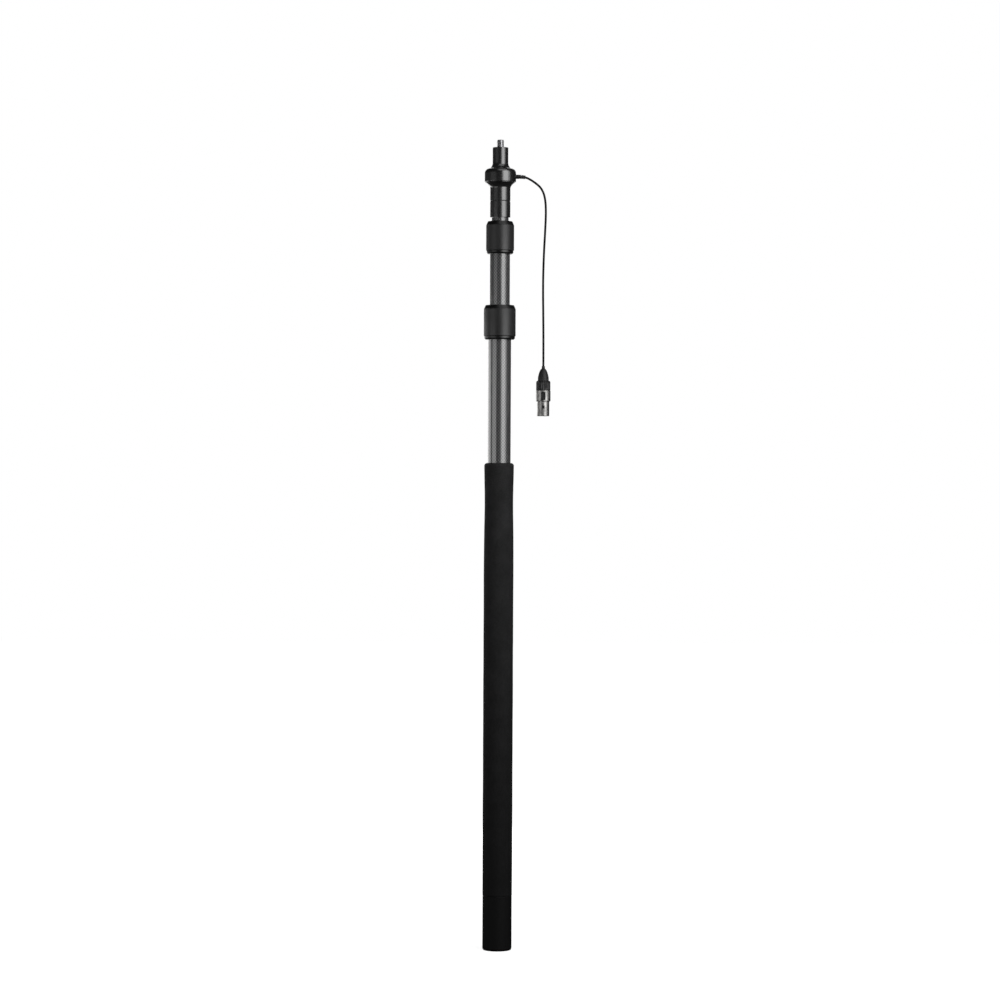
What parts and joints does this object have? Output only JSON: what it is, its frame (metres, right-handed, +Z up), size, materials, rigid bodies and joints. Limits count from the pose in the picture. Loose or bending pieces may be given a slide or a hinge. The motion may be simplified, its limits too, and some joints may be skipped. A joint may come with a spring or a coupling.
{
  "type": "telescopic boom pole",
  "caption": "Telescopic carbon boom pole with twist locks, foam grip, internal coiled cable, base audio socket and a short microphone cord from a ring under its threaded head.",
  "frame": {"origin": "centre of the foot of the pole, on its axis", "axes": "+Z up the pole's axis to the microphone stud, +X to the side that the cord's gland is on, -Y to the side that the connector's latch is on"},
  "size_m": [0.0872, 0.0414, 1.0543],
  "materials": {
    "carbon_weave": "gloss",
    "grip_foam": "matte",
    "cap_rubber": "matte",
    "soft_touch": "satin",
    "black_anodised": "satin",
    "black_gloss": "gloss",
    "black_metal": "satin",
    "seal_rubber": "matte",
    "acetal": "satin",
    "connector_black": "satin",
    "boot_rubber": "matte",
    "cord_jacket": "satin",
    "nickel": "gloss",
    "plated_contacts": "gloss",
    "stud_steel": "satin"
  },
  "bodies": {
    "grip_section": {"outer_tube": "carbon_weave", "foam_grip": "grip_foam", "base_cap": "cap_rubber", "base_plug": "black_anodised", "base_grommet": "seal_rubber", "output_shell": "nickel", "output_screws": "black_metal", "output_insert": "connector_black", "output_pins": "plated_contacts", "base_lead": "cord_jacket", "lower_lock_ferrule": "black_anodised", "lower_lock_o_ring": "seal_rubber", "lower_lock_collet": "acetal"},
    "lower_lock_collar": {"lower_lock_nut": "black_anodised", "lower_lock_sleeve": "soft_touch"},
    "middle_bush": {"middle_guide_bush": "acetal"},
    "middle_section": {"middle_tube": "carbon_weave", "middle_stop_rings": "acetal", "upper_lock_ferrule": "black_anodised", "upper_lock_o_ring": "seal_rubber", "upper_lock_collet": "acetal"},
    "upper_lock_collar": {"upper_lock_nut": "black_anodised", "upper_lock_sleeve": "soft_touch"},
    "inner_bush": {"inner_guide_bush": "acetal"},
    "inner_section": {"inner_tube": "carbon_weave", "inner_stop_rings": "acetal", "head_sleeve": "black_gloss", "head_seal": "seal_rubber", "head_body": "black_gloss", "exit_ring": "black_gloss", "head_neck": "black_gloss", "mic_stud": "stud_steel", "cable_anchor": "acetal", "coiled_cable": "cord_jacket", "head_lead": "cord_jacket", "gland_nut": "black_metal", "gland_boot": "boot_rubber", "mic_cord": "cord_jacket", "connector_boot": "boot_rubber", "connector_collar": "connector_black", "connector_chuck": "acetal", "connector_shell": "nickel", "connector_insert": "connector_black", "connector_contacts": "plated_contacts", "connector_wires": "cord_jacket"},
    "connector_latch": {"connector_latch": "black_metal"}
  },
  "joints": [
    {"name": "lower_lock_turn", "type": "hinge", "parent": "grip_section", "child": "lower_lock_collar", "pos_m": [0, 0, 0.82], "axis": [0, 0, 1], "range_deg": [0, 120]},
    {"name": "middle_slide", "type": "slide", "parent": "grip_section", "child": "middle_bush", "axis": [0, 0, 1], "range_m": [-0.0665, 0.666], "deforming": ["coiled_cable"]},
    {"name": "middle_turn", "type": "hinge", "parent": "middle_bush", "child": "middle_section", "pos_m": [0, 0, 0.13], "axis": [0, 0, 1], "range_deg": [-180, 180]},
    {"name": "upper_lock_turn", "type": "hinge", "parent": "middle_section", "child": "upper_lock_collar", "pos_m": [0, 0, 0.93], "axis": [0, 0, 1], "range_deg": [0, 120]},
    {"name": "inner_slide", "type": "slide", "parent": "middle_section", "child": "inner_bush", "axis": [0, 0, 1], "range_m": [-0.0047, 0.7715], "deforming": ["coiled_cable"]},
    {"name": "inner_turn", "type": "hinge", "parent": "inner_bush", "child": "inner_section", "pos_m": [0, 0, 0.14], "axis": [0, 0, 1], "range_deg": [-180, 180]},
    {"name": "latch_press", "type": "slide", "parent": "inner_section", "child": "connector_latch", "axis": [0, 1, 0], "range_m": [0, 0.0012], "stiffness_N_per_m": 200, "springref_m": -0.001}
  ]
}
